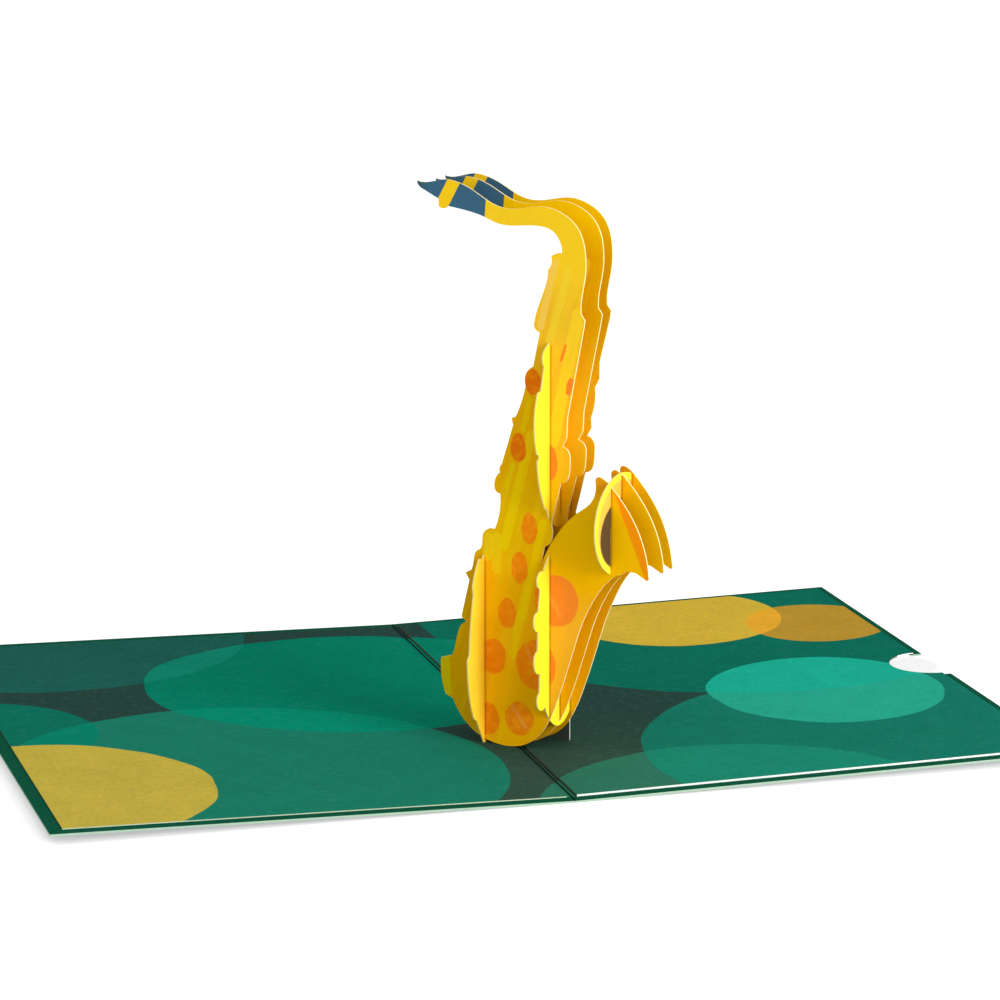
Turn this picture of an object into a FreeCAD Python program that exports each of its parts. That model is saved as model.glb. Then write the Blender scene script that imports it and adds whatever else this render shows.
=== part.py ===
import FreeCAD, Part

import math
import os

V = FreeCAD.Vector

# Cover: one green sheet folded over a flat spine and opened almost flat
panel_reach = 127.0        # middle of the spine to the outer edge, along the sheet
card_depth = 177.8         # along the fold
cover_thickness = 0.5
spine_width = 2.4          # flat strip that the two panels rise from
panel_tilt = 1.0           # degrees that each panel rises towards its outer edge
score_width = 0.5
score_depth = 0.15

# Printed liners glued inside the cover, with a pocket under the right one
liner_thickness = 0.25
liner_margin_end = 3.3     # cover left bare at the front and back edges
liner_margin_left = 3.5    # cover left bare at the left edge
liner_margin_right = 2.4   # cover left bare at the right edge
liner_gap = 0.1            # from the spine to the liner beside it
flap_width = 8.0           # glue flap folded under three sides of the right liner

# Note card in the pocket, pulled out at the thumb notch
notch_radius = 10.6
notch_depth = 12.6
note_clearance = 1.0       # between the note card and the flaps beside it
note_setback = 1.5         # note card's edge inside the pocket mouth
pocket_clearance = 0.05    # between the note card and the liner above it
tab_clearance = 0.5        # between the thumb tab and the sides of the notch
tab_setback = 0.3          # thumb tab's tip inside the cover's edge

# Sheets of the saxophone, slotted together in a lattice at 45 degrees to the fold
sheet_thickness = 0.4
slot_clearance = 0.04      # each side of a sheet that passes through a slot
lattice_angle = -45.0      # turns the lattice's run direction to the right and forward
corner_reach = 19.1        # fold crossing to the back profile and to the lower left slat
profile_pitch = 5.35
body_plane = 37.45         # run of the upper slat and of the lower right slat
bell_plane = 54.4          # run of the bell disc
profile_offset = 0.8       # middle and back profiles stand this much further along
profile_lean = 0.01        # and this much more for each millimetre of height
profile_lift = 0.9         # and this much higher, past the mouthpiece
lift_run = 30.0            # run over which that lift comes in
lift_height = 40.0         # height over which it comes in as well
back_setback = 0.4         # back profile stands this much behind the middle one's run
back_bow_advance = 0.9     # but its bow is set this much forward
bow_height = 38.0          # top of the bow, where that starts to fade
bow_fade = 12.0            # height over which it fades
half_lap_upper = 82.0      # height where a slat's slots give way to the profiles' slots
half_lap_low_left = 25.0
half_lap_low_right = 29.0

# Oval disc that closes the bell, centred on the middle profile
bell_half_width = 13.6
bell_half_height = 12.7
bell_height = 59.8

# Feet glued to the liners
foot_height = 6.6          # top of the back profile's long foot
foot_depth = 2.0           # feet are drawn this far down, then trimmed to the liners
glue_tab_depth = 3.4
glue_tab_end = 0.8         # tab starts this far inside the foot's ends
fold_keep_out = 1.8        # glue tabs stay this far from the middle of the spine

half_spine = spine_width / 2
half_depth = card_depth / 2
half_sheet = sheet_thickness / 2
tilt = math.radians(panel_tilt)
panel_length = panel_reach - half_spine
right_liner_top = cover_thickness + 2 * liner_thickness
left_liner_top = cover_thickness + liner_thickness
beyond = 400.0             # further than any part of the card reaches

back_plane = -corner_reach
middle_plane = back_plane - profile_pitch
front_plane = middle_plane - profile_pitch
profile_planes = {"profile_front": front_plane, "profile_middle": middle_plane,
                  "profile_back": back_plane}

# Each cross sheet: its run, the height where its slots end, and the side they open on
cross_slots = {
    "slat_upper": (body_plane, half_lap_upper, "down"),
    "slat_lower_left": (corner_reach, half_lap_low_left, "up"),
    "slat_lower_right": (body_plane, half_lap_low_right, "up"),
    "bell_disc": (bell_plane, bell_height, "down"),
}

# Outline of the front profile as (run, height) points. Each list is one smooth
# stretch and starts where the one before it ends; two points are a straight cut.
mouthpiece_to_body = [
    # Beak of the mouthpiece, the band around it and the underside of the neck
    [(0.4, 141.3), (0.8, 140.2), (1.7, 139.5)],
    [(1.7, 139.5), (6.5, 137.2)],
    [(6.5, 137.2), (6.5, 135.4)],
    [(6.5, 135.4), (7.6, 134.9), (9.2, 135.6)],
    [(9.2, 135.6), (14.2, 134.9), (19.3, 133.7), (22.5, 132.5), (27.0, 132.1), (34.0, 132.6),
     (38.3, 131.6), (40.4, 129.0), (40.9, 126.4)],
    # Brushed top end of the body, down its left side to the first dot
    [(40.9, 126.4), (39.2, 126.2), (37.9, 125.4)],
    [(37.9, 125.4), (38.0, 123.7), (37.1, 122.2)],
    [(37.1, 122.2), (36.5, 118.5), (34.7, 113.7), (33.4, 109.4)],
    [(33.4, 109.4), (33.4, 107.4), (34.8, 106.4)],
    [(34.8, 106.4), (33.0, 97.9)],
    [(33.0, 97.9), (31.0, 95.9), (30.9, 92.8)],
    [(30.9, 92.8), (29.8, 88.9), (28.2, 85.0)],
    [(28.2, 85.0), (27.0, 84.4)],
    [(27.0, 84.4), (27.4, 82.7)],
    # Keys and guards down the left side
    [(27.4, 82.7), (24.2, 72.6)],
    [(24.2, 72.6), (23.6, 71.6), (23.7, 70.4)],
    [(23.7, 70.4), (22.1, 67.2), (22.5, 65.7), (23.8, 65.1)],
    [(23.8, 65.1), (23.8, 62.0), (22.2, 55.9)],
    [(22.2, 55.9), (19.8, 55.5), (19.0, 54.6), (18.7, 52.3), (18.5, 51.1)],
    [(18.5, 51.1), (18.1, 50.5), (17.3, 50.1)],
    [(17.3, 50.1), (16.8, 49.5), (16.0, 46.0), (15.5, 44.8)],
    [(15.5, 44.8), (13.9, 44.0)],
    [(13.9, 44.0), (15.0, 42.2)],
    [(15.0, 42.2), (12.7, 32.5)],
    [(12.7, 32.5), (14.4, 31.2)],
    # Bow: the round bottom of the instrument
    [(14.4, 31.2), (13.1, 30.8), (12.1, 29.4), (10.8, 24.4), (9.9, 22.2)],
    [(9.9, 22.2), (6.8, 21.3)],
    [(6.8, 21.3), (6.9, 16.6), (8.1, 12.0)],
    [(8.1, 12.0), (10.2, 11.1)],
    [(10.2, 11.1), (12.5, 7.1), (17.2, 2.9), (22.0, 1.2), (27.0, 0.9), (31.4, 2.1),
     (34.8, 4.7), (37.7, 9.0), (40.4, 15.6)],
    # Bell: front, lip, rim, top tip and back down to the crotch
    [(40.4, 15.6), (42.4, 21.5), (44.4, 27.8), (46.5, 34.1), (48.3, 38.1), (50.9, 42.6),
     (54.3, 46.6), (58.0, 49.0), (61.6, 49.3)],
    [(61.6, 49.3), (64.5, 47.7)],
    [(64.5, 47.7), (65.1, 48.0)],
    [(65.1, 48.0), (64.5, 52.4), (62.4, 59.0), (58.9, 65.0), (54.6, 70.0)],
    [(54.6, 70.0), (52.0, 72.0), (50.9, 72.1), (50.3, 71.3)],
    [(50.3, 71.3), (50.4, 69.0), (49.9, 66.9), (48.4, 64.8), (45.7, 62.8), (41.0, 58.2),
     (37.4, 52.9), (35.2, 48.2)],
    # Body's right side, up from the crotch to the neck
    [(35.2, 48.2), (36.2, 53.1)],
    [(36.2, 53.1), (37.9, 54.3), (38.5, 56.6), (38.1, 59.1)],
    [(38.1, 59.1), (40.7, 69.4)],
    [(40.7, 69.4), (42.3, 70.2), (43.2, 74.0), (42.8, 77.6), (41.1, 78.7)],
    [(41.1, 78.7), (42.3, 80.9)],
]
body_edge = [
    [(42.3, 80.9), (42.5, 86.0)],
    [(42.5, 86.0), (43.8, 92.6), (46.9, 108.4)],
]
# The back profile's body is cut along the ends of its brush strokes there
body_edge_back = [
    [(42.3, 80.9), (42.1, 83.4)],
    [(42.1, 83.4), (43.2, 88.4), (43.1, 91.0)],
    [(43.1, 91.0), (44.3, 93.3)],
    [(44.3, 93.3), (44.3, 97.6)],
    [(44.3, 97.6), (46.9, 108.4)],
]
neck_to_mouthpiece = [
    [(46.9, 108.4), (47.2, 110.4)],
    [(47.2, 110.4), (46.1, 111.9)],
    [(46.1, 111.9), (46.1, 114.6), (47.1, 120.4), (47.3, 126.0), (46.5, 130.1), (44.4, 133.7),
     (40.7, 136.2), (36.0, 137.4), (30.5, 136.7), (25.5, 136.2), (21.8, 137.0), (16.3, 139.9),
     (12.4, 141.5), (9.2, 142.1)],
    [(9.2, 142.1), (4.9, 141.4), (2.4, 141.0), (0.4, 141.3)],
]

# Front half of each slat as (distance from the middle profile, height) points,
# from its top down; the back half is the same, mirrored
upper_slat = [
    [(0.0, 105.0), (4.4, 104.6), (8.5, 102.2)],
    [(8.5, 102.2), (9.0, 100.6), (8.2, 98.4)],
    [(8.2, 98.4), (9.8, 92.8)],
    [(9.8, 92.8), (11.3, 92.7)],
    [(11.3, 92.7), (12.8, 88.0), (13.0, 82.6), (11.8, 77.4)],
    [(11.8, 77.4), (10.7, 77.1)],
    [(10.7, 77.1), (10.7, 76.2)],
    [(10.7, 76.2), (11.6, 75.7)],
    [(11.6, 75.7), (9.9, 67.7), (7.6, 62.9)],
    [(7.6, 62.9), (6.9, 63.2)],
    [(6.9, 63.2), (4.6, 59.2), (0.0, 57.2)],
]
lower_left_slat = [
    [(0.0, 52.0), (3.0, 50.8), (5.4, 49.2), (6.4, 48.2)],
    [(6.4, 48.2), (8.1, 48.5)],
    [(8.1, 48.5), (9.6, 45.9), (10.7, 43.6), (11.2, 41.3)],
    [(11.2, 41.3), (10.8, 39.8)],
    [(10.8, 39.8), (12.2, 32.0), (12.9, 24.8)],
    [(12.9, 24.8), (13.9, 23.6)],
    [(13.9, 23.6), (13.5, 18.0), (12.3, 12.0), (10.7, 8.0)],
    [(10.7, 8.0), (9.4, 7.2)],
    [(9.4, 7.2), (profile_pitch, 0.0)],
    [(profile_pitch, 0.0), (0.0, 0.0)],
]
lower_right_slat = [
    [(0.0, 52.6), (5.4, 51.0), (8.3, 47.4)],
    [(8.3, 47.4), (10.3, 47.6), (11.6, 46.0), (11.3, 44.2), (10.0, 43.4)],
    [(10.0, 43.4), (11.0, 37.8)],
    [(11.0, 37.8), (12.6, 37.3), (13.3, 35.4), (12.6, 33.5), (11.1, 33.0)],
    [(11.1, 33.0), (11.3, 28.0)],
    [(11.3, 28.0), (12.7, 27.0), (13.1, 25.0), (12.4, 22.9), (10.2, 22.1)],
    [(10.2, 22.1), (10.4, 17.0)],
    [(10.4, 17.0), (11.5, 15.6), (10.9, 13.1), (9.3, 12.4), (7.6, 12.8)],
    [(7.6, 12.8), (5.2, 9.1), (2.8, 7.2), (0.0, 6.5)],
]


def panel_point(side, along, height):
    """Point of a panel's section: distance along it from the spine, height above its underside."""
    x = half_spine + along * math.cos(tilt) - height * math.sin(tilt)
    z = along * math.sin(tilt) + height * math.cos(tilt)
    return V(side * x, -half_depth, z)


def prism_along_fold(points, front, back):
    """Extrude a section, given at the card's front edge, from front to back along the fold."""
    face = Part.Face(Part.makePolygon(points + [points[0]]))
    face.translate(V(0, front + half_depth, 0))
    return face.extrude(V(0, back - front, 0))


def panel_plate(side, inner, outer, bottom, top, front, back):
    """Flat sheet on one panel, by its limits along, above and across the panel."""
    corners = [(inner, bottom), (outer, bottom), (outer, top), (inner, top)]
    return prism_along_fold([panel_point(side, a, h) for a, h in corners], front, back)


def upright_round(x, left_reach, right_reach, radius):
    """Endless upright prism: a round about x, run on to its left and right."""
    round_end = Part.makeCylinder(radius, 2 * beyond, V(x, 0, -beyond))
    corner = V(x - left_reach, -radius, -beyond)
    block = Part.makeBox(left_reach + right_reach, 2 * radius, 2 * beyond, corner)
    return round_end.fuse(block).removeSplitter()


def notch_cutter():
    """Thumb notch through the right edge of the cover and its liner."""
    centre = panel_reach - notch_depth + notch_radius
    return upright_round(centre, 0, notch_depth, notch_radius)


def build_cover():
    """Cover with one score along the middle of its flat spine and a notch in the right edge."""
    inner_corner = half_spine - cover_thickness * math.tan(tilt / 2)
    right = [V(half_spine, -half_depth, 0), panel_point(1, panel_length, 0),
             panel_point(1, panel_length, cover_thickness),
             V(inner_corner, -half_depth, cover_thickness)]
    left = [V(-p.x, p.y, p.z) for p in reversed(right)]
    cover = prism_along_fold(right + left, -half_depth, half_depth)
    score = [V(-score_width / 2, -half_depth, cover_thickness + score_depth),
             V(score_width / 2, -half_depth, cover_thickness + score_depth),
             V(0, -half_depth, cover_thickness - score_depth)]
    cover = cover.cut(prism_along_fold(score, -half_depth, half_depth))
    return cover.cut(notch_cutter())


def build_liner_left():
    """Printed sheet glued flat on the left panel."""
    end = half_depth - liner_margin_end
    outer = panel_length - liner_margin_left
    return panel_plate(-1, liner_gap, outer, cover_thickness, left_liner_top, -end, end)


def build_liner_right():
    """Printed sheet on the right panel, with glue flaps folded under three of its sides."""
    end = half_depth - liner_margin_end
    outer = panel_length - liner_margin_right
    sheet = panel_plate(1, liner_gap, outer, left_liner_top, right_liner_top, -end, end)
    flap_limits = [
        (liner_gap, liner_gap + flap_width, -end, end),
        (liner_gap, outer, -end, flap_width - end),
        (liner_gap, outer, end - flap_width, end),
    ]
    for inner, reach, front, back in flap_limits:
        flap = panel_plate(1, inner, reach, cover_thickness, left_liner_top, front, back)
        sheet = sheet.fuse(flap)
    return sheet.removeSplitter().cut(notch_cutter())


def build_note_card():
    """Loose card in the pocket, with a round thumb tab that fills the notch."""
    side = half_depth - liner_margin_end - flap_width - note_clearance
    inner = liner_gap + flap_width + note_clearance
    outer = panel_length - liner_margin_right - note_setback
    top = left_liner_top - pocket_clearance
    body = panel_plate(1, inner, outer, cover_thickness, top, -side, side)
    tip = panel_length - tab_setback
    layer = panel_plate(1, inner, tip, cover_thickness, top, -side, side)
    radius = notch_radius - tab_clearance
    tab_outline = upright_round(panel_reach - tab_setback - radius, radius, 0, radius)
    return body.fuse(layer.common(tab_outline)).removeSplitter()


def smooth_edges(stretches):
    """One edge for each list of points: straight through two, a smooth curve through more."""
    edges = []
    for points in stretches:
        if len(points) == 2:
            edges.append(Part.LineSegment(points[0], points[1]).toShape())
        else:
            curve = Part.BSplineCurve()
            curve.interpolate(points)
            edges.append(curve.toShape())
    return edges


def profile_point(name, run, height):
    """Where a profile has an outline point: the two at the back are set along and lifted."""
    if name == "profile_front":
        return V(run, 0, height)
    shift = profile_offset + profile_lean * height
    if name == "profile_back":
        fade = (height - bow_height) / bow_fade
        shift += back_bow_advance * (1.0 - min(1.0, max(0.0, fade))) - back_setback
    lift = profile_lift * min(1.0, run / lift_run) * min(1.0, height / lift_height)
    return V(run + shift, 0, height + lift)


def profile_solid(name, thickness):
    """Saxophone profile in the lattice; the back one has the long foot that starts at the fold."""
    edge = body_edge_back if name == "profile_back" else body_edge
    stretches = [[profile_point(name, run, height) for run, height in stretch]
                 for stretch in mouthpiece_to_body + edge + neck_to_mouthpiece]
    solid = Part.Face(Part.Wire(smooth_edges(stretches))).extrude(V(0, thickness, 0))
    if name == "profile_back":
        length = body_plane + half_sheet - corner_reach
        foot = Part.makeBox(length, thickness, foot_height + foot_depth,
                            V(corner_reach, 0, -foot_depth))
        solid = solid.fuse(foot).removeSplitter()
    solid.translate(V(0, profile_planes[name] - thickness / 2, 0))
    return solid


def slat_solid(stretches, run, thickness):
    """Slat that stands across the profiles, from its front half and that half mirrored."""
    start = run - thickness / 2
    edges = []
    for side in (-1, 1):
        edges += smooth_edges([[V(start, middle_plane + side * across, height)
                                for across, height in stretch] for stretch in stretches])
    outline = Part.Wire(Part.sortEdges(edges)[0])
    return Part.Face(outline).extrude(V(thickness, 0, 0))


def disc_solid(thickness):
    """Oval disc that closes the mouth of the bell, in the lattice."""
    disc = Part.Face(Part.Wire(Part.makeCircle(1.0, V(0, 0, 0), V(1, 0, 0))))
    stretch = FreeCAD.Matrix()
    stretch.scale(V(1, bell_half_width, bell_half_height))
    oval = disc.transformGeometry(stretch)
    oval.translate(V(bell_plane - thickness / 2, middle_plane, bell_height))
    return oval.extrude(V(thickness, 0, 0))


def cross_sheets(thickness):
    """Every sheet that stands across the profiles, by name."""
    return {
        "slat_upper": slat_solid(upper_slat, body_plane, thickness),
        "slat_lower_left": slat_solid(lower_left_slat, corner_reach, thickness),
        "slat_lower_right": slat_solid(lower_right_slat, body_plane, thickness),
        "bell_disc": disc_solid(thickness),
    }


def band(low, high):
    """Block that holds everything in the lattice between two heights."""
    return Part.makeBox(2 * beyond, 2 * beyond, high - low, V(-beyond, -beyond, low))


def slotted_lattice():
    """Profiles and cross sheets with the half-lap slots where they pass through each other."""
    slot_width = sheet_thickness + 2 * slot_clearance
    profiles = {name: profile_solid(name, sheet_thickness) for name in profile_planes}
    crosses = cross_sheets(sheet_thickness)
    wide_crosses = cross_sheets(slot_width)
    for name, (run, half_lap, opening) in cross_slots.items():
        below, above = band(-beyond, half_lap), band(half_lap, beyond)
        own_side, partner_side = (below, above) if opening == "down" else (above, below)
        for plane in profile_planes.values():
            column = Part.makeBox(slot_width, slot_width, 2 * beyond,
                                  V(run - slot_width / 2, plane - slot_width / 2, -beyond))
            crosses[name] = crosses[name].cut(column.common(own_side))
        cutter = wide_crosses[name].common(partner_side)
        for profile in profiles:
            profiles[profile] = profiles[profile].cut(cutter)
    return {**profiles, **crosses}


def into_card(solid):
    """Turn a sheet from the lattice's own directions into the card's."""
    turned = solid.copy()
    turned.rotate(V(0, 0, 0), V(0, 0, 1), lattice_angle)
    return turned


def below_panel(side, top):
    """Everything on one side of the fold below a plane this far above the panel's underside."""
    at_fold = (top * math.sin(tilt) - half_spine) / math.cos(tilt)
    corners = [V(0, -half_depth, -beyond), V(side * beyond, -half_depth, -beyond),
               panel_point(side, beyond, top), panel_point(side, at_fold, top)]
    return prism_along_fold(corners, -half_depth, half_depth)


def glue_tab(side, top, corners):
    """Strip of a foot folded over and glued down, from its corners in the lattice."""
    points = [V(run, across, 0) for run, across in corners]
    prism = Part.Face(Part.makePolygon(points + [points[0]])).extrude(V(0, 0, beyond))
    layer = below_panel(side, top + sheet_thickness).cut(below_panel(side, top))
    return into_card(prism).common(layer)


def build_saxophone():
    """Sheets of the saxophone, trimmed to the liners and with their glue tabs."""
    sheets = {name: into_card(solid) for name, solid in slotted_lattice().items()}
    for name in sheets:
        for side, top in ((-1, left_liner_top), (1, right_liner_top)):
            sheets[name] = sheets[name].cut(below_panel(side, top))
    past_fold = fold_keep_out * math.sqrt(2)
    tab_reach = back_plane + glue_tab_depth
    right_tab = [
        (corner_reach + past_fold, back_plane),
        (body_plane - glue_tab_end, back_plane),
        (body_plane - glue_tab_depth, tab_reach),
        (corner_reach + past_fold, tab_reach),
    ]
    tab_side = corner_reach + glue_tab_depth
    left_tab = [
        (corner_reach, front_plane + glue_tab_end),
        (corner_reach, back_plane - past_fold),
        (tab_side, back_plane - past_fold - glue_tab_depth),
        (tab_side, front_plane + glue_tab_end),
    ]
    feet = {
        "profile_back": glue_tab(1, right_liner_top, right_tab),
        "slat_lower_left": glue_tab(-1, left_liner_top, left_tab),
    }
    for name, foot in feet.items():
        sheets[name] = sheets[name].fuse(foot).removeSplitter()
    return sheets


nodes = {
    "cover": build_cover(),
    "liner_left": build_liner_left(),
    "liner_right": build_liner_right(),
    "note_card": build_note_card(),
}
nodes.update(build_saxophone())

os.makedirs("parts", exist_ok=True)
for name, shape in nodes.items():
    print(name, len(shape.Solids), round(shape.Volume, 2), shape.isValid())
    shape.exportStep("parts/" + name + ".step")
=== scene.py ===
import math

import bpy
from mathutils import Matrix, Vector

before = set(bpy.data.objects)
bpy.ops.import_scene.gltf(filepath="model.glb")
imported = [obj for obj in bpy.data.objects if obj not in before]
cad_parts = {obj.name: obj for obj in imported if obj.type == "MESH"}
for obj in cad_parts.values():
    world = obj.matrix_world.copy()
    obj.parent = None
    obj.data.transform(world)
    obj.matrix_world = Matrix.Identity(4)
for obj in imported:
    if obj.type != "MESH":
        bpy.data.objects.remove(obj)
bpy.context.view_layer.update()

# Directions of the slotted sheets: RUN follows the profiles to the right and forward,
# ACROSS crosses them to the right and away. Both are level, at 45 degrees to the fold.
DIAGONAL = math.sqrt(0.5)
RUN = Vector((DIAGONAL, -DIAGONAL, 0))
ACROSS = Vector((DIAGONAL, DIAGONAL, 0))
UP = Vector((0, 0, 1))
EAST = Vector((1, 0, 0))
NORTH = Vector((0, 1, 0))
MM_PER_M = 1000

# Where the sheets stand, in millimetres
BACK_PLANE = -19.1          # of the back profile, along ACROSS
PROFILE_PITCH = 5.35
MIDDLE_PLANE = BACK_PLANE - PROFILE_PITCH
FRONT_PLANE = MIDDLE_PLANE - PROFILE_PITCH
CORNER_PLANE = 19.1         # of the lower left slat, along RUN
BODY_PLANE = 37.45          # of the upper slat and the lower right slat
BELL_PLANE = 54.4           # of the bell disc
SHEET_FACE = 0.25           # from a sheet's middle to just outside its own face
SPINE_STRIP = 1.3           # middle of the spine to the liners
LINER_END = 85.6            # middle of the card to the liners' front and back edges

# Paper: its surface, and the scales of the noise in it, per millimetre
ROUGHNESS = 0.85
ROUGHNESS_SPREAD = 0.16
SPECULAR_LEVEL = 0.005      # low, so that the white surroundings leave no haze
CLOUD_SCALE = 0.16
GRAIN_SCALE = 1.3
FIBRE_SCALE = 2.6
FIBRE_HEIGHT = 0.04         # millimetres
FIBRE_STRENGTH = 0.35
MEAN_NOISE = 0.5


def colour(red, green, blue):
    """Linear colour with full alpha from an everyday 0 to 255 one."""
    def linear(value):
        value /= 255
        return value / 12.92 if value <= 0.04045 else ((value + 0.055) / 1.055) ** 2.4
    return (linear(red), linear(green), linear(blue), 1.0)


CREAM_EDGE = colour(255, 232, 170)
SLAT_EDGE = colour(240, 222, 142)
GROUND = colour(36, 64, 58)


class Graph:
    """Short names for the nodes of one material. Plain values and sockets both go in."""

    def __init__(self, name):
        self.material = bpy.data.materials.new(name)
        self.material.use_nodes = True
        self.tree = self.material.node_tree
        self.tree.nodes.clear()
        place = self.add("TexCoord").outputs["Object"]
        self.mm = self.scaled(place, MM_PER_M)
        self.normal = self.add("NewGeometry").outputs["True Normal"]

    def add(self, kind, **settings):
        node = self.tree.nodes.new("ShaderNode" + kind)
        for key, value in settings.items():
            setattr(node, key, value)
        return node

    def feed(self, socket, value):
        if isinstance(value, bpy.types.NodeSocket):
            self.tree.links.new(value, socket)
        elif socket.type == "VECTOR":
            socket.default_value = value[:3]
        else:
            socket.default_value = value

    def math(self, operation, *inputs, clamp=False):
        node = self.add("Math", operation=operation, use_clamp=clamp)
        for socket, value in zip(node.inputs, inputs):
            self.feed(socket, value)
        return node.outputs[0]

    def vector(self, operation, *inputs):
        node = self.add("VectorMath", operation=operation)
        for socket, value in zip(node.inputs, inputs):
            self.feed(socket, value)
        is_number = operation in ("LENGTH", "DOT_PRODUCT")
        return node.outputs["Value" if is_number else "Vector"]

    def scaled(self, vector, factor):
        node = self.add("VectorMath", operation="SCALE")
        self.feed(node.inputs[0], vector)
        self.feed(node.inputs["Scale"], factor)
        return node.outputs["Vector"]

    def point(self, x, y):
        node = self.add("CombineXYZ")
        self.feed(node.inputs["X"], x)
        self.feed(node.inputs["Y"], y)
        return node.outputs[0]

    def mix(self, factor, first, second):
        # The Mix node has one set of sockets for each data type; these are the colour ones
        node = self.add("Mix", data_type="RGBA")
        self.feed(node.inputs[0], factor)
        self.feed(node.inputs[6], first)
        self.feed(node.inputs[7], second)
        return node.outputs[2]

    def over(self, under, share, strength, shade):
        """A shade laid over a colour at a strength, where the share is 1."""
        return self.mix(self.math("MULTIPLY", share, strength), under, shade)

    def noise(self, point, scale, detail=2.0):
        node = self.add("TexNoise")
        self.feed(node.inputs["Vector"], point)
        node.inputs["Scale"].default_value = scale
        node.inputs["Detail"].default_value = detail
        return node

    def cloudy(self, point, scale, detail):
        """One soft random value at each point."""
        return self.noise(point, scale, detail).outputs["Fac"]

    def ramp(self, value, low, high):
        """0 below low, 1 above high, straight between them; low may be the larger."""
        share = self.math("SUBTRACT", value, low)
        return self.math("MULTIPLY", share, 1 / (high - low), clamp=True)

    def along(self, direction):
        """Distance of the surface point along a direction, in millimetres."""
        return self.vector("DOT_PRODUCT", self.mm, direction)

    def turned(self, direction):
        """How far the face looks along a direction, from -1 to 1."""
        return self.vector("DOT_PRODUCT", self.normal, direction)

    def facing(self, direction):
        """1 on faces that look along a direction, either way, and 0 on the cut edges."""
        return self.math("GREATER_THAN", self.math("ABSOLUTE", self.turned(direction)), 0.5)

    def flat(self):
        """Surface point seen from above, in millimetres."""
        return self.vector("MULTIPLY", self.mm, (1, 1, 0))

    def oval(self, point, centre, radii, softness=0.02):
        """1 inside an oval and 0 outside it. The softness is a share of its radii."""
        offset = self.vector("SUBTRACT", point, (*centre, 0))
        offset = self.vector("MULTIPLY", offset, (1 / radii[0], 1 / radii[1], 0))
        reach = self.vector("LENGTH", offset)
        return self.ramp(reach, 1 + softness / 2, 1 - softness / 2)

    def stroke(self, point, start, end, width, softness):
        """1 within half a width of the line from start to end, 0 beyond the softness."""
        start, end = Vector((*start, 0)), Vector((*end, 0))
        line = end - start
        offset = self.vector("SUBTRACT", point, start)
        share = self.vector("DOT_PRODUCT", offset, line)
        share = self.math("MULTIPLY", share, 1 / line.length_squared, clamp=True)
        gap = self.vector("SUBTRACT", offset, self.scaled(line, share))
        return self.ramp(self.vector("LENGTH", gap), width / 2 + softness, width / 2)

    def wobbled(self, point, reach, scale):
        """A point pushed about by soft noise, so that printed edges look hand cut."""
        push = self.noise(point, scale).outputs["Color"]
        push = self.vector("SUBTRACT", push, (MEAN_NOISE,) * 3)
        return self.vector("ADD", point, self.scaled(push, 2 * reach))

    def chalked(self, base, strength, level=1.0):
        """Base colour with the dry, flecked look of printed chalk, around a mean level."""
        fleck = self.cloudy(self.mm, 0.75, 6.0)
        patch = self.cloudy(self.mm, 0.09, 3.0)
        both = self.math("ADD", fleck, self.math("MULTIPLY", patch, 0.5))
        mean = 1.5 * MEAN_NOISE
        shade = self.math("MULTIPLY_ADD", both, strength, level - mean * strength)
        # Sparse pale specks, drawn out across the card
        speck_at = self.vector("MULTIPLY", self.mm, (0.55, 1.0, 1.0))
        speck = self.ramp(self.cloudy(speck_at, 0.9, 4.0), 0.56, 0.74)
        return self.over(self.scaled(base, shade), speck, 0.45 * strength, colour(78, 140, 118))

    def paper(self, base, mottle=0.10):
        """Ends the material as paper: base colour with a faint mottle, and fibres in the bump."""
        cloud = self.cloudy(self.mm, CLOUD_SCALE, 4.0)
        grain = self.cloudy(self.mm, GRAIN_SCALE, 5.0)
        mean = MEAN_NOISE * mottle
        shade = self.math("MULTIPLY_ADD", cloud, mottle, 1 - mean)
        shade = self.math("MULTIPLY_ADD", grain, mottle, self.math("SUBTRACT", shade, mean))
        shader = self.add("BsdfPrincipled")
        self.feed(shader.inputs["Base Color"], self.scaled(base, shade))
        shader.inputs["Specular IOR Level"].default_value = SPECULAR_LEVEL
        lowest = ROUGHNESS - MEAN_NOISE * ROUGHNESS_SPREAD
        rough = self.math("MULTIPLY_ADD", grain, ROUGHNESS_SPREAD, lowest)
        self.feed(shader.inputs["Roughness"], rough)
        bump = self.add("Bump")
        bump.inputs["Strength"].default_value = FIBRE_STRENGTH
        bump.inputs["Distance"].default_value = FIBRE_HEIGHT / MM_PER_M
        self.feed(bump.inputs["Height"], self.cloudy(self.mm, FIBRE_SCALE, 6.0))
        self.feed(shader.inputs["Normal"], bump.outputs["Normal"])
        self.end(shader)
        return self.material

    def end(self, shader):
        output = self.add("OutputMaterial")
        self.feed(output.inputs["Surface"], shader.outputs[0])


# Printed circles on the open card: centre and radii in millimetres from the fold's middle
CIRCLES = {
    "left": ((-130.0, -1.0), (30.5, 30.5)),
    "teal": ((-100.0, 94.3), (58.5, 58.5)),
    "near_left": ((-71.3, -51.1), (62.9, 62.6)),
    "middle": ((-26.0, 29.0), (55.0, 48.7)),
    "back_right": ((90.0, 78.0), (83.0, 93.6)),
    "near_right": ((92.4, -67.8), (66.2, 66.0)),
    "near_fold": ((38.0, -105.3), (50.4, 50.2)),
    "light_teal": ((89.9, -15.5), (30.4, 32.1)),
    "mustard_left": ((-121.9, -54.9), (41.2, 41.4)),
    "mustard_right": ((75.2, 66.8), (30.0, 29.4)),
    "orange": ((110.9, 49.3), (19.8, 20.3)),
}

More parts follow.
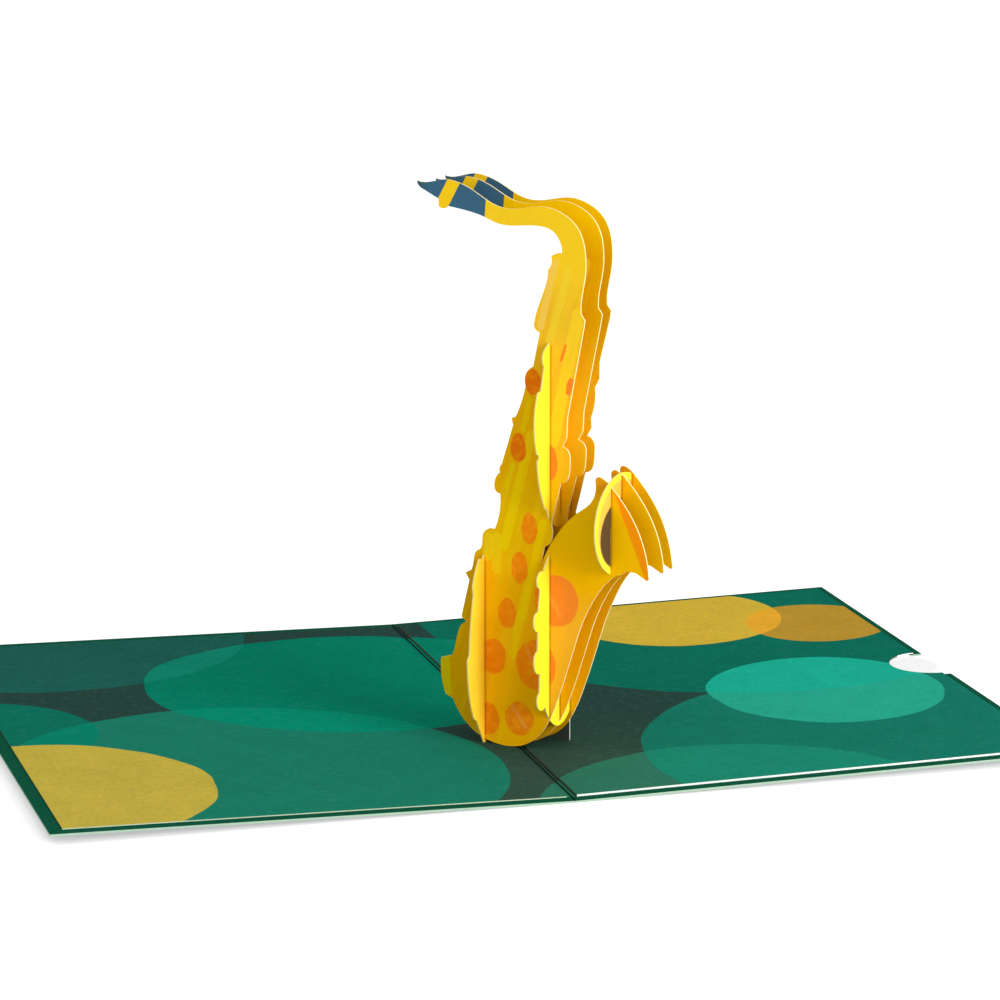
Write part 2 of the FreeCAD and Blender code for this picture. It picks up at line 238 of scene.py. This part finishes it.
# Order of painting: a circle alone or two where they overlap, and the colour there
PAINTS = [
    (("left",), colour(9, 106, 87)),
    (("teal",), colour(27, 89, 79)),
    (("near_left",), colour(25, 117, 95)),
    (("middle",), colour(1, 119, 94)),
    (("back_right",), colour(8, 103, 84)),
    (("near_right",), colour(19, 113, 95)),
    (("near_fold",), colour(44, 111, 91)),
    (("teal", "middle"), colour(13, 128, 105)),
    (("left", "near_left"), colour(5, 123, 99)),
    (("middle", "near_left"), colour(1, 132, 105)),
    (("middle", "back_right"), colour(6, 121, 96)),
    (("near_right", "near_fold"), colour(25, 129, 106)),
    (("light_teal",), colour(36, 159, 134)),
    (("light_teal", "back_right"), colour(25, 166, 141)),
    (("mustard_left",), colour(187, 167, 64)),
    (("mustard_right",), colour(203, 171, 55)),
    (("orange",), colour(178, 139, 45)),
    (("orange", "mustard_right"), colour(224, 164, 43)),
]


def card_print(graph):
    """Overlapping circles of green, teal and mustard on a dark ground."""
    # Circles are pushed out of round on a large scale, then their edges on a small one
    spot = graph.wobbled(graph.wobbled(graph.flat(), 1.6, 0.03), 0.15, 0.8)
    inside = {name: graph.oval(spot, centre, radii, 0.006)
              for name, (centre, radii) in CIRCLES.items()}
    by_fold = graph.oval(spot, (0.0, -75.0), (45.0, 40.0), 1.2)
    painted = graph.mix(by_fold, GROUND, colour(48, 75, 64))
    for names, shade in PAINTS:
        share = inside[names[0]]
        for other in names[1:]:
            share = graph.math("MULTIPLY", share, inside[other])
        painted = graph.mix(share, painted, shade)
    return painted


def liner_material():
    """Printed liner: pale cut edges, greener on the left liner, and painted shade on the cut edges
    at its sides.
    """
    graph = Graph("printed_liner")
    on_right = graph.math("GREATER_THAN", graph.along(EAST), 0)
    edge = graph.mix(on_right, colour(206, 218, 188), colour(250, 252, 248))
    # Painted shade: the cut edges at the liners' sides are dark grey-green.
    edge = graph.mix(graph.facing(EAST), edge, colour(92, 100, 84))
    face = graph.chalked(card_print(graph), 0.42, 1.07)
    return graph.paper(graph.mix(graph.facing(UP), edge, face))


def cover_material():
    """Dark green cover with pale cut edges; its spine carries the print and a painted line of shade
    along the crease.
    """
    graph = Graph("cover_card")
    side = graph.along(EAST)
    across = graph.math("ABSOLUTE", side)
    depth = graph.math("ABSOLUTE", graph.along(NORTH))
    top = graph.math("GREATER_THAN", graph.turned(UP), 0)
    on_spine = graph.math("LESS_THAN", across, SPINE_STRIP)
    on_print = graph.math("MULTIPLY", on_spine, graph.math("LESS_THAN", depth, LINER_END))
    on_print = graph.math("MULTIPLY", on_print, top)
    face = graph.mix(on_print, graph.chalked(colour(13, 80, 58), 0.25), card_print(graph))
    # Painted shade: a dark line along the crease in the middle of the spine.
    crease_shade = graph.math("MULTIPLY", graph.ramp(across, 0.45, 0.15), top)
    face = graph.mix(crease_shade, face, colour(18, 38, 32))
    # Shade in the narrow gap beside the right liner
    beside = graph.math("MULTIPLY", graph.ramp(side, 0.7, 1.15), on_print)
    face = graph.over(face, beside, 0.7, colour(14, 34, 28))
    return graph.paper(graph.mix(graph.facing(UP), colour(164, 194, 170), face))


def note_material():
    """White note card with a faint grey disc on its thumb tab."""
    graph = Graph("note_paper")
    disc = graph.oval(graph.flat(), (121.2, -0.6), (7.0, 7.0), 0.03)
    white = graph.mix(disc, colour(255, 255, 254), colour(249, 249, 250))
    return graph.paper(white, mottle=0.02)


# Dots on a profile: centre as (run, height), and half width and half height
INNER_DOTS = [
    ((32.8, 94.1), (2.3, 3.2)),
    ((28.9, 77.2), (2.1, 3.7)),
    ((32.0, 57.2), (2.3, 3.9)),
    ((29.3, 47.0), (2.3, 4.1)),
    ((25.7, 35.0), (2.5, 3.8)),
    ((21.9, 23.4), (3.6, 4.5)),
    ((33.9, 22.7), (5.6, 6.4)),
    ((20.2, 7.2), (3.4, 4.2)),
    ((29.3, 8.3), (4.0, 4.3)),
    ((39.6, 39.8), (6.1, 6.5)),
]

# Only the front profile has a dot at its right edge
FRONT_DOTS = INNER_DOTS + [((37.6, 74.2), (2.2, 4.5))]

# Short orange marks on the front profile's body: start, end and width
MARKS = [
    ((41.9, 103.9), (40.8, 100.2), 0.5),
    ((43.4, 95.3), (42.7, 92.3), 1.2),
]

# Brush strokes on a profile: start and end as (run, height), width, and colour
INNER_STROKES = [
    ((39.0, 123.9), (35.0, 107.8), 1.5, colour(250, 206, 92)),
    ((42.9, 122.6), (37.5, 104.5), 1.6, colour(246, 214, 50)),
    ((31.9, 89.3), (30.4, 82.0), 0.9, colour(244, 210, 0)),
    ((32.4, 80.5), (24.9, 52.0), 2.2, colour(246, 214, 6)),
    ((27.3, 72.6), (25.6, 67.0), 0.9, colour(240, 212, 10)),
    ((35.7, 58.9), (30.1, 34.5), 1.8, colour(248, 214, 0)),
    ((20.6, 53.6), (20.2, 49.0), 2.4, colour(250, 214, 26)),
    ((22.9, 54.0), (22.7, 45.8), 2.3, colour(250, 214, 20)),
    ((31.4, 42.9), (27.4, 24.6), 1.8, colour(250, 212, 6)),
    ((8.0, 21.6), (8.5, 12.6), 2.2, colour(228, 212, 4)),
]

# Only the front profile has a wide pale stroke at its right edge
FRONT_STROKES = INNER_STROKES + [((45.3, 111.6), (38.6, 79.9), 3.0, colour(255, 216, 40))]

# One faint pale stroke across each of the large dots
DOT_STROKES = [
    ((36.8, 42.4), (40.6, 36.2)),
    ((31.6, 26.2), (34.6, 20.4)),
    ((26.9, 11.7), (31.0, 6.4)),
]

# Where each cross sheet stands behind a thin line of shade on the profiles:
# its run, and the lowest and highest points of the line
SHADE_LINES = [
    (CORNER_PLANE, 1.0, 49.0),
    (BODY_PLANE, 6.5, 52.0),
    (BODY_PLANE, 58.0, 105.0),
    (BELL_PLANE, 48.0, 72.0),
]

# Colours at the top of the front profile and of the inner ones: neck, shoulder and body, and the
# heights between which the neck gives way to the shoulder. The inner ones are painted darker at the
# shoulder and with little blue, as shade behind the front profile.
FRONT_TOP = (colour(250, 206, 36), colour(246, 194, 44), colour(251, 185, 40), 124.0, 112.0)
SHADED_INNER_TOP = (colour(248, 201, 4), colour(230, 175, 2), colour(247, 196, 26), 134.0, 124.0)

BELL_SLOPE = -0.25          # run lost per height along the line between body and bell
BODY_SLOPE = -0.28          # the same along the streaks down the body
RIM_SLOPE = 0.425           # the same along the bell's rim
BEAK_SLOPE = -0.55          # the same along the ends of the mouthpiece's yellow band
BARREL_SLOPE = -0.08        # the same along the end of its blue barrel
OUTLINE_LEAN = 0.01         # run gained per height by an inner outline on the front one
OUTLINE_LIFT = 0.9          # how far the inner outlines rise above the front one
FOOT_HEIGHT = 6.65          # just above the back profile's foot
FOOT_END = colour(200, 208, 206)
FOOT_SHADE = colour(62, 72, 62)


class ProfileGraph(Graph):
    """Material of one saxophone profile. Its print is placed by run and height."""

    def __init__(self, name, setback):
        """setback says how far an inner outline is shifted along; the front one has None."""
        super().__init__(name)
        self.is_front = setback is None
        self.run, self.height = self.along(RUN), self.along(UP)
        self.past_slat = self.math("GREATER_THAN", self.run, BODY_PLANE)
        self.before_slat = self.math("LESS_THAN", self.run, CORNER_PLANE)
        self.print_run, self.print_height = self.run, self.height
        if not self.is_front:
            lift = self.math("MULTIPLY", self.ramp(self.run, 0.0, 30.0), OUTLINE_LIFT)
            lift = self.math("MULTIPLY", lift, self.ramp(self.height, 0.0, 40.0))
            shift = self.math("MULTIPLY_ADD", self.height, OUTLINE_LEAN, setback)
            self.print_run = self.math("SUBTRACT", self.run, shift)
            self.print_height = self.math("SUBTRACT", self.height, lift)
        self.spot = self.point(self.print_run, self.print_height)

    def slanted(self, slope):
        """A value that is the same all along each line that loses the slope's run per height."""
        return self.math("MULTIPLY_ADD", self.print_height, slope, self.print_run)

    def ground(self):
        """Golden ground of the print, more orange down the body and paler on the bell. Painted
        shade tones it left of the upper slat and left of the lower left slat, and painted light
        brightens the bow just right of the lower left slat.
        """
        neck, shoulder, middle, high, low = FRONT_TOP if self.is_front else SHADED_INNER_TOP
        painted = self.mix(self.ramp(self.print_height, high, low), neck, shoulder)
        # Painted shade: left of the upper slat the body takes a shaded tone with little blue.
        middle = self.mix(self.past_slat, colour(242, 182, 4), middle)
        painted = self.mix(self.ramp(self.print_height, 108.0, 92.0), painted, middle)
        body = self.ramp(self.print_height, 78.0, 66.0)
        painted = self.mix(body, painted, colour(240, 188, 5))
        # Painted light and shade on the bow: brightest just right of the lower left slat, duller
        # towards the lower right one, darker in its shadow left of the lower left slat.
        bow = self.ramp(self.print_run, 21.0, 31.0)
        bow = self.mix(bow, colour(255, 190, 6), colour(248, 183, 2))
        bow = self.mix(self.before_slat, bow, colour(228, 172, 2))
        return self.mix(self.ramp(self.print_height, 56.0, 44.0), painted, bow)

    def lit_by_slat(self, painted):
        """Painted light: a warmer, brighter patch low on the front profile's bell, where light
        bounces off the lower right slat.
        """
        slat_light = self.math("MULTIPLY", self.past_slat, self.ramp(self.print_height, 44.0, 34.0))
        return self.over(painted, slat_light, 0.85, colour(255, 184, 48))

    def streaked(self, painted):
        """Faint light and dark streaks down the body, which leans to the right."""
        across = self.math("MULTIPLY", self.slanted(BODY_SLOPE), 0.5)
        streaks_at = self.point(across, self.math("MULTIPLY", self.print_height, 0.05))
        streaks = self.cloudy(streaks_at, 1.0, 4.0)
        on_bell = self.math("GREATER_THAN", self.slanted(BELL_SLOPE), 23.5)
        off_bell = self.math("SUBTRACT", 1.0, on_bell)
        body = self.math("MULTIPLY", self.ramp(self.print_height, 126.0, 116.0), off_bell)
        light = self.math("MULTIPLY", self.ramp(streaks, 0.52, 0.68), body)
        painted = self.over(painted, light, 0.35, colour(244, 208, 30))
        dark = self.math("MULTIPLY", self.ramp(streaks, 0.46, 0.32), body)
        return self.over(painted, dark, 0.3, colour(234, 164, 4))

    def brushed(self, painted):
        """Pale brush strokes."""
        place = self.wobbled(self.spot, 0.35, 0.5)
        for start, end, width, shade in FRONT_STROKES if self.is_front else INNER_STROKES:
            painted = self.over(painted, self.stroke(place, start, end, width, 0.35), 0.65, shade)
        return painted

    def dotted(self, painted):
        """Orange dots, mottled by the brush, and redder up the body; right of the body slats they
        take a lit tone, which is painted light.
        """
        place = self.wobbled(self.spot, 0.45, 0.28)
        daub = self.cloudy(self.wobbled(self.spot, 1.2, 0.4), 0.55, 3.0)
        shade = self.mix(self.ramp(daub, 0.46, 0.66), colour(250, 140, 12), colour(255, 158, 20))
        high = self.mix(self.ramp(daub, 0.44, 0.62), colour(238, 118, 14), colour(246, 140, 14))
        shade = self.mix(self.ramp(self.print_height, 64.0, 74.0), shade, high)
        # Painted light: right of the body slats the dots take a brighter, bluer lit tone.
        shade = self.mix(self.past_slat, shade, colour(250, 140, 44))
        for start, end in DOT_STROKES:
            line = self.stroke(place, start, end, 0.5, 0.5)
            shade = self.over(shade, line, 0.4, colour(255, 176, 84))
        for centre, radii in FRONT_DOTS if self.is_front else INNER_DOTS:
            painted = self.mix(self.oval(place, centre, radii, 0.06), painted, shade)
        if self.is_front:
            for start, end, width in MARKS:
                mark = self.stroke(place, start, end, width, 0.15)
                painted = self.mix(mark, painted, colour(252, 134, 40))
        return painted

    def tipped(self, painted):
        """Orange tip at the top of the bell."""
        tip = self.oval(self.spot, (51.8, 71.5), (2.6, 4.0), 0.9)
        return self.over(painted, tip, 0.6, colour(222, 134, 16))

    def rimmed(self, painted):
        """Orange band along the front bell's rim."""
        on_bell = self.math("GREATER_THAN", self.print_run, 54.0)
        rim = self.math("MULTIPLY", self.ramp(self.slanted(RIM_SLOPE), 84.3, 84.8), on_bell)
        return self.over(painted, rim, 0.85, colour(244, 138, 14))

    def corner_shaded(self, painted):
        """Painted shade in the corner where an inner bell leaves the body, on its front side."""
        to_front = self.math("LESS_THAN", self.turned(ACROSS), 0)
        corner = self.oval(self.spot, (35.5, 48.0), (4.6, 6.2), 0.8)
        corner = self.math("MULTIPLY", corner, to_front)
        return self.over(painted, corner, 0.7, colour(80, 34, 2))

    def slotted(self, painted):
        """Thin line of shade beside each slot."""
        for plane, low, high in SHADE_LINES:
            beside = self.math("SUBTRACT", self.run, plane + 0.45)
            line = self.ramp(self.math("ABSOLUTE", beside), 0.35, 0.1)
            for start, end in ((low, low + 2.0), (high, high - 2.0)):
                line = self.math("MULTIPLY", line, self.ramp(self.print_height, start, end))
            painted = self.over(painted, line, 0.5, colour(140, 84, 6))
        return painted

    def mouthpiece(self, painted):
        """Blue beak and barrel with a yellow band between."""
        short_of_neck = self.math("LESS_THAN", self.slanted(BARREL_SLOPE), 8.75)
        blue = self.math("GREATER_THAN", self.print_height, 120.0)
        blue = self.math("MULTIPLY", short_of_neck, blue)
        leaning = self.slanted(BEAK_SLOPE)
        band = self.math("MULTIPLY", self.math("GREATER_THAN", leaning, -69.15),
                         self.math("LESS_THAN", leaning, -65.3))
        beak = self.ramp(self.print_run, 4.0, 0.5)
        beak = self.mix(beak, colour(62, 102, 128), colour(58, 92, 96))
        painted = self.mix(blue, painted, beak)
        return self.mix(self.math("MULTIPLY", band, blue), painted, colour(250, 205, 30))

    def printed(self):
        """The whole print, painted in its order."""
        painted = self.ground()
        if self.is_front:
            # Painted light low on the front bell, beside the lower right slat
            painted = self.lit_by_slat(painted)
        painted = self.dotted(self.brushed(self.streaked(painted)))
        painted = self.tipped(painted)
        # Front profile: printed rim band; inner profiles: painted shade in the corner by the bell.
        painted = self.rimmed(painted) if self.is_front else self.corner_shaded(painted)
        return self.mouthpiece(self.slotted(painted))

    def edged(self, painted, edge):
        """The print on the faces and another colour on the cut edges."""
        return self.mix(self.facing(ACROSS), edge, painted)


def profile_material(name, setback=None):
    """Printed saxophone profile."""
    graph = ProfileGraph(name, setback)
    return graph.paper(graph.edged(graph.printed(), CREAM_EDGE))


def back_profile_material():
    """Back profile, with its foot under the bow and its glue tab as dark as the card."""
    graph = ProfileGraph("back_profile", 0.4)
    bow = graph.oval(graph.spot, (26.6, 15.5), (13.6, 14.8), 0.01)
    below_bow = graph.math("SUBTRACT", 1.0, bow)
    low = graph.math("LESS_THAN", graph.height, FOOT_HEIGHT)
    on_foot = graph.math("MULTIPLY", below_bow, low)
    painted = graph.mix(on_foot, graph.printed(), FOOT_SHADE)
    foot_edge = graph.mix(graph.facing(UP), FOOT_END, FOOT_SHADE)
    edged = graph.edged(painted, graph.mix(on_foot, CREAM_EDGE, foot_edge))
    on_tab = graph.math("GREATER_THAN", graph.along(ACROSS), BACK_PLANE + SHEET_FACE)
    return graph.paper(graph.mix(on_tab, edged, GROUND))


def slat_material(name, front_shade, shaded_back_colour, has_tab=False):
    """Printed cross sheet; its colour changes softly from its front edge to its back: painted
    shade, darker and more orange where it stands behind the front profile.
    """
    graph = Graph(name)
    across, height = graph.along(ACROSS), graph.along(UP)
    # Painted shade: behind the front profile the sheet takes the shaded back colour.
    share = graph.ramp(across, FRONT_PLANE - 4.0, FRONT_PLANE + 1.5)
    painted = graph.mix(share, front_shade, shaded_back_colour)
    streaks_at = graph.point(graph.math("MULTIPLY", across, 0.6),
                             graph.math("MULTIPLY", height, 0.05))
    streaks = graph.ramp(graph.cloudy(streaks_at, 1.0, 3.0), 0.5, 0.7)
    painted = graph.over(painted, streaks, 0.25, colour(255, 206, 40))
    edged = graph.mix(graph.facing(RUN), SLAT_EDGE, painted)
    if has_tab:
        on_tab = graph.math("GREATER_THAN", graph.along(RUN), CORNER_PLANE + SHEET_FACE)
        edged = graph.mix(on_tab, edged, GROUND)
    return graph.paper(edged, mottle=0.05)


def disc_material():
    """Bell's mouth: yellow rim, paler ring and dark brown opening."""
    graph = Graph("bell_mouth")
    spot = graph.point(graph.along(ACROSS), graph.along(UP))
    ring = graph.oval(spot, (MIDDLE_PLANE, 59.8), (12.1, 11.1), 0.05)
    painted = graph.mix(ring, colour(252, 240, 58), colour(248, 188, 72))
    opening = graph.oval(spot, (MIDDLE_PLANE, 57.65), (10.95, 8.75), 0.05)
    painted = graph.mix(opening, painted, colour(92, 70, 44))
    return graph.paper(graph.mix(graph.facing(RUN), SLAT_EDGE, painted), mottle=0.06)


liner = liner_material()
materials = {
    "cover": cover_material(),
    "liner_left": liner,
    "liner_right": liner,
    "note_card": note_material(),
    "profile_front": profile_material("front_profile"),
    "profile_middle": profile_material("middle_profile", 0.8),
    "profile_back": back_profile_material(),
    "slat_upper": slat_material("upper_slat", colour(248, 240, 52), colour(255, 198, 40)),
    "slat_lower_left": slat_material("left_slat", colour(250, 214, 52), colour(250, 190, 36), True),
    "slat_lower_right": slat_material("right_slat", colour(246, 238, 48), colour(248, 238, 50)),
    "bell_disc": disc_material(),
}
for node, material in materials.items():
    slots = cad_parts[node].data.materials
    for index in range(len(slots)):
        slots[index] = material


# Studio: a white floor and even white surroundings, which are plain white as a background
# and gentler as light, and one soft lamp
FLOOR_HALF = 12.0           # metres
FLOOR_GREY = (0.82, 0.82, 0.82, 1)
FLOOR_GLOW = 0.45
WHITE = (1, 1, 1, 1)
WORLD_LIGHT = 0.74
LAMP_TARGET = Vector((0.02, -0.03, 0.06))
LAMP_DIRECTION = 0.93 * RUN - 0.26 * ACROSS + 0.28 * UP
LAMP_DISTANCE = 1.1
LAMP_SIZE = 0.5
LAMP_WATTS = 9.5


def white_rays(tree):
    """1 on rays that show the background: straight from the camera, mirrored or let through."""
    path = tree.nodes.new("ShaderNodeLightPath")
    share = path.outputs["Is Camera Ray"]
    for other in ("Is Glossy Ray", "Is Transmission Ray"):
        either = tree.nodes.new("ShaderNodeMath")
        either.operation = "MAXIMUM"
        tree.links.new(share, either.inputs[0])
        tree.links.new(path.outputs[other], either.inputs[1])
        share = either.outputs[0]
    return share


def stage_material():
    """White floor: plain white as the camera sees it lit, with the card's soft shadow kept."""
    graph = Graph("stage_white")
    shader = graph.add("BsdfDiffuse")
    shader.inputs["Color"].default_value = FLOOR_GREY
    glow = graph.add("Emission")
    glow.inputs["Color"].default_value = WHITE
    strength = graph.math("MULTIPLY", white_rays(graph.tree), FLOOR_GLOW)
    graph.feed(glow.inputs["Strength"], strength)
    both = graph.add("AddShader")
    graph.feed(both.inputs[0], shader.outputs[0])
    graph.feed(both.inputs[1], glow.outputs[0])
    graph.end(both)
    return graph.material


def build_floor():
    mesh = bpy.data.meshes.new("floor")
    corners = [(-1, -1), (1, -1), (1, 1), (-1, 1)]
    mesh.from_pydata([(x * FLOOR_HALF, y * FLOOR_HALF, 0) for x, y in corners], [], [(0, 1, 2, 3)])
    mesh.materials.append(stage_material())
    square = bpy.data.objects.new("floor", mesh)
    bpy.context.scene.collection.objects.link(square)
    return square


def build_world():
    world = bpy.data.worlds.new("studio")
    bpy.context.scene.world = world
    world.use_nodes = True
    tree = world.node_tree
    tree.nodes.clear()
    strength = tree.nodes.new("ShaderNodeMapRange")
    strength.inputs["To Min"].default_value = WORLD_LIGHT
    strength.inputs["To Max"].default_value = 1.0
    tree.links.new(white_rays(tree), strength.inputs["Value"])
    background = tree.nodes.new("ShaderNodeBackground")
    background.inputs["Color"].default_value = WHITE
    tree.links.new(strength.outputs["Result"], background.inputs["Strength"])
    output = tree.nodes.new("ShaderNodeOutputWorld")
    tree.links.new(background.outputs[0], output.inputs["Surface"])


def build_lamp():
    """Square soft lamp that looks at the saxophone."""
    lamp = bpy.data.lights.new("key_softbox", "AREA")
    lamp.size = LAMP_SIZE
    lamp.energy = LAMP_WATTS
    holder = bpy.data.objects.new("key_softbox", lamp)
    place = LAMP_TARGET + LAMP_DIRECTION.normalized() * LAMP_DISTANCE
    turn = (LAMP_TARGET - place).to_track_quat("-Z", "Y").to_matrix().to_4x4()
    holder.matrix_world = Matrix.Translation(place) @ turn
    bpy.context.scene.collection.objects.link(holder)


floor = build_floor()
build_world()
build_lamp()

# Camera of the photograph: focal length in pixels of its 1000-pixel frame, place, and turn
FRAME_PIXELS = 1000
FOCAL_PIXELS = 4302.3
SENSOR_MM = 36.0
CAMERA_PLACE = Vector((-0.28684, -1.03434, 0.29536))
CAMERA_YAW = 15.825
CAMERA_PITCH = 12.621
camera = bpy.data.cameras.new("camera")
camera.sensor_width = SENSOR_MM
camera.lens = SENSOR_MM * FOCAL_PIXELS / FRAME_PIXELS
holder = bpy.data.objects.new("camera", camera)
holder.location = CAMERA_PLACE
holder.rotation_euler = (math.radians(90 - CAMERA_PITCH), 0, math.radians(-CAMERA_YAW))
bpy.context.scene.collection.objects.link(holder)
bpy.context.scene.camera = holder
bpy.context.scene.view_settings.view_transform = "Standard"
